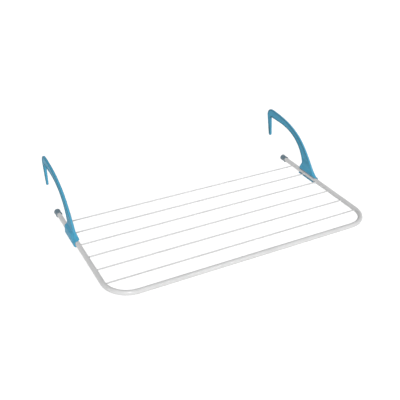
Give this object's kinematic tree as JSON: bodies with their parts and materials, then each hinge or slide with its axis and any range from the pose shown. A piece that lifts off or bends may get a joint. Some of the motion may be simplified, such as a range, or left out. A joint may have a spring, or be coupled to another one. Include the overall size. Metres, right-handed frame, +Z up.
{
  "type": "hook-over drying rack",
  "caption": "Drying rack: bent tube frame strung with straight wires, with sliding moulded hooks that hang over a rail or wall top and end caps that rest on its face.",
  "frame": {"origin": "midway between the rear faces of the two end caps, at the height of the tube's axis", "axes": "+X along the width, -Y out from the wall towards the front tube, +Y into the wall, +Z up"},
  "size_m": [0.77, 0.5305, 0.146],
  "materials": {
    "white_tube": "satin white powder coat",
    "white_wire": "satin white plastic coat",
    "blue_plastic": "satin moulded polypropylene",
    "grey_plastic": "soft matt moulded plastic"
  },
  "bodies": {
    "frame": {"frame_tube": "white_tube", "wire_1": "white_wire", "wire_2": "white_wire", "wire_3": "white_wire", "wire_4": "white_wire", "wire_5": "white_wire", "wire_6": "white_wire", "end_cap_left": "grey_plastic", "end_cap_right": "grey_plastic"},
    "left_hook": {"hook_left": "blue_plastic"},
    "right_hook": {"hook_right": "blue_plastic"}
  },
  "joints": [
    {"name": "left_hook_slide", "type": "slide", "parent": "frame", "child": "left_hook", "axis": [0, 1, 0], "range_m": [-0.18, 0.078]},
    {"name": "right_hook_slide", "type": "slide", "parent": "frame", "child": "right_hook", "axis": [0, 1, 0], "range_m": [-0.18, 0.078]}
  ]
}
